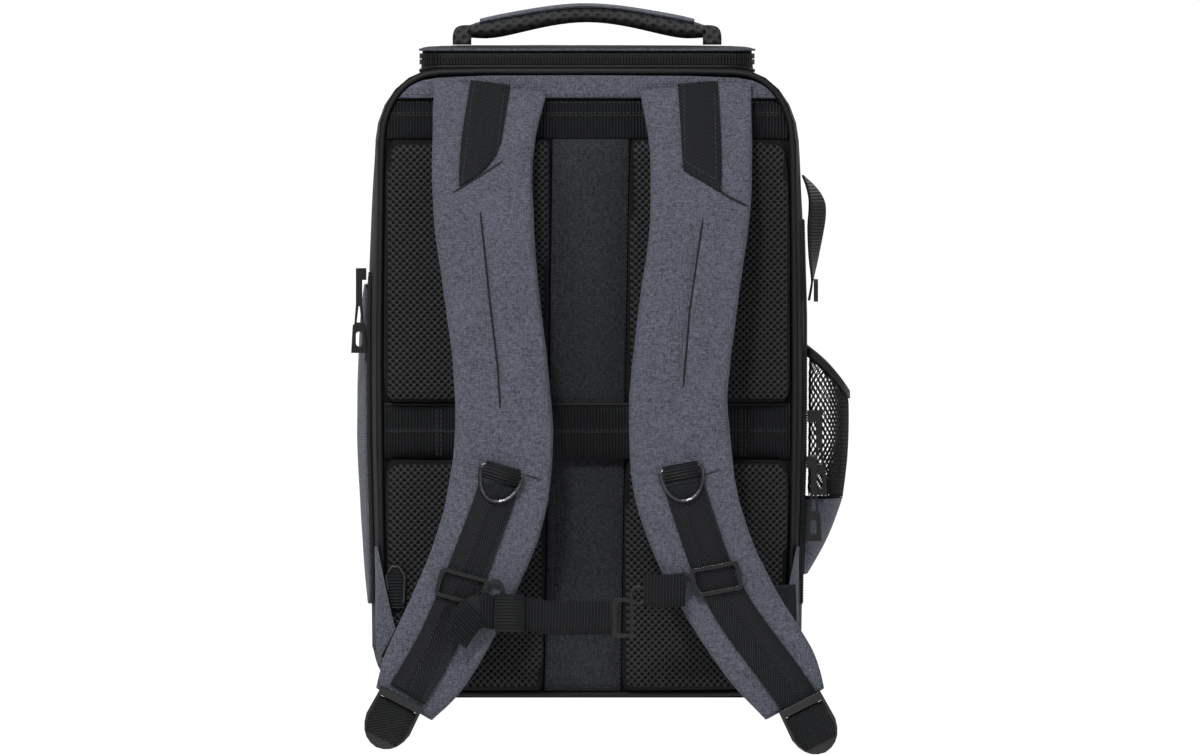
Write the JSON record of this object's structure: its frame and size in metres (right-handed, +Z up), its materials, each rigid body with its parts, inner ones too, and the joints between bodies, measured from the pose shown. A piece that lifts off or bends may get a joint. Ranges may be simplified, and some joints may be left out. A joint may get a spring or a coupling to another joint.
{
  "type": "camera backpack",
  "caption": "Grey heather camera backpack seen from its harness side, with padded shoulder straps, mesh back pads, a luggage strap, a grab handle and a net bottle pocket.",
  "frame": {"origin": "middle of the underside of the grab handle grip, where the bag hangs", "axes": "-Y out of the harness side, +X to the right when the harness side is looked at, +Z up"},
  "size_m": [0.3774, 0.2953, 0.5641],
  "materials": {
    "heather_cloth": "woven heather, matte",
    "dark_heather_cloth": "woven dark heather, matte",
    "side_cloth": "coated woven cloth, matte",
    "black_webbing": "ribbed nylon webbing, satin",
    "black_air_mesh": "knitted air mesh over foam, matte",
    "black_binding": "bound tape and piping, satin",
    "black_plastic": "moulded acetal, satin",
    "gunmetal": "dark plated steel, bright"
  },
  "bodies": {
    "bag": {"base_panel": "side_cloth", "side_panel_right": "side_cloth", "side_panel_left": "side_cloth", "top_panel": "side_cloth", "back_panel": "black_air_mesh", "front_panel": "heather_cloth", "piping_back": "black_binding", "piping_front": "black_binding", "lid_band": "black_binding", "lid_top": "dark_heather_cloth", "yoke": "heather_cloth", "top_webbing": "black_webbing", "centre_column": "dark_heather_cloth", "back_pad_upper_left": "black_air_mesh", "back_pad_upper_right": "black_air_mesh", "back_pad_lower_left": "black_air_mesh", "back_pad_lower_right": "black_air_mesh", "luggage_webbing": "black_webbing", "handle_grip": "black_air_mesh", "handle_cover": "heather_cloth", "handle_post_left": "black_air_mesh", "handle_post_right": "black_air_mesh", "shoulder_strap_left": "heather_cloth", "strap_mesh_left": "black_air_mesh", "upper_webbing_left": "black_webbing", "lower_webbing_left": "black_webbing", "ring_keeper_left": "black_webbing", "sternum_slide_left": "black_plastic", "ladder_lock_left": "black_plastic", "lock_webbing_left": "black_webbing", "side_wing_left": "heather_cloth", "anchor_webbing_left": "black_webbing", "shoulder_strap_right": "heather_cloth", "strap_mesh_right": "black_air_mesh", "upper_webbing_right": "black_webbing", "lower_webbing_right": "black_webbing", "ring_keeper_right": "black_webbing", "sternum_slide_right": "black_plastic", "ladder_lock_right": "black_plastic", "lock_webbing_right": "black_webbing", "side_wing_right": "heather_cloth", "anchor_webbing_right": "black_webbing", "sternum_webbing_left": "black_webbing", "sternum_keeper": "black_webbing", "sternum_buckle": "black_plastic", "sternum_webbing_right": "black_webbing", "wing_tab_left": "black_webbing", "zip_left": "black_binding", "zip_right": "black_binding", "side_pocket_left": "heather_cloth", "zip_pull_left": "black_plastic", "zip_pull_right_upper": "black_plastic", "zip_pull_right_lower": "black_plastic", "side_strap_right": "black_webbing", "side_buckle_right": "black_plastic", "bottle_pocket_base": "heather_cloth", "bottle_pocket_net": "black_air_mesh", "bottle_pocket_hem": "black_webbing"},
    "ring_left": {"d_ring_left": "gunmetal"},
    "ring_right": {"d_ring_right": "gunmetal"}
  },
  "joints": [
    {"name": "d_ring_left_swing", "type": "hinge", "parent": "bag", "child": "ring_left", "pos_m": [-0.063, -0.10623, -0.33549], "axis": [-0.9588, 0.0063, 0.284], "range_deg": [0, 150]},
    {"name": "d_ring_right_swing", "type": "hinge", "parent": "bag", "child": "ring_right", "pos_m": [0.07015, -0.10621, -0.33459], "axis": [-0.9844, -0.0034, -0.1762], "range_deg": [0, 150]}
  ]
}
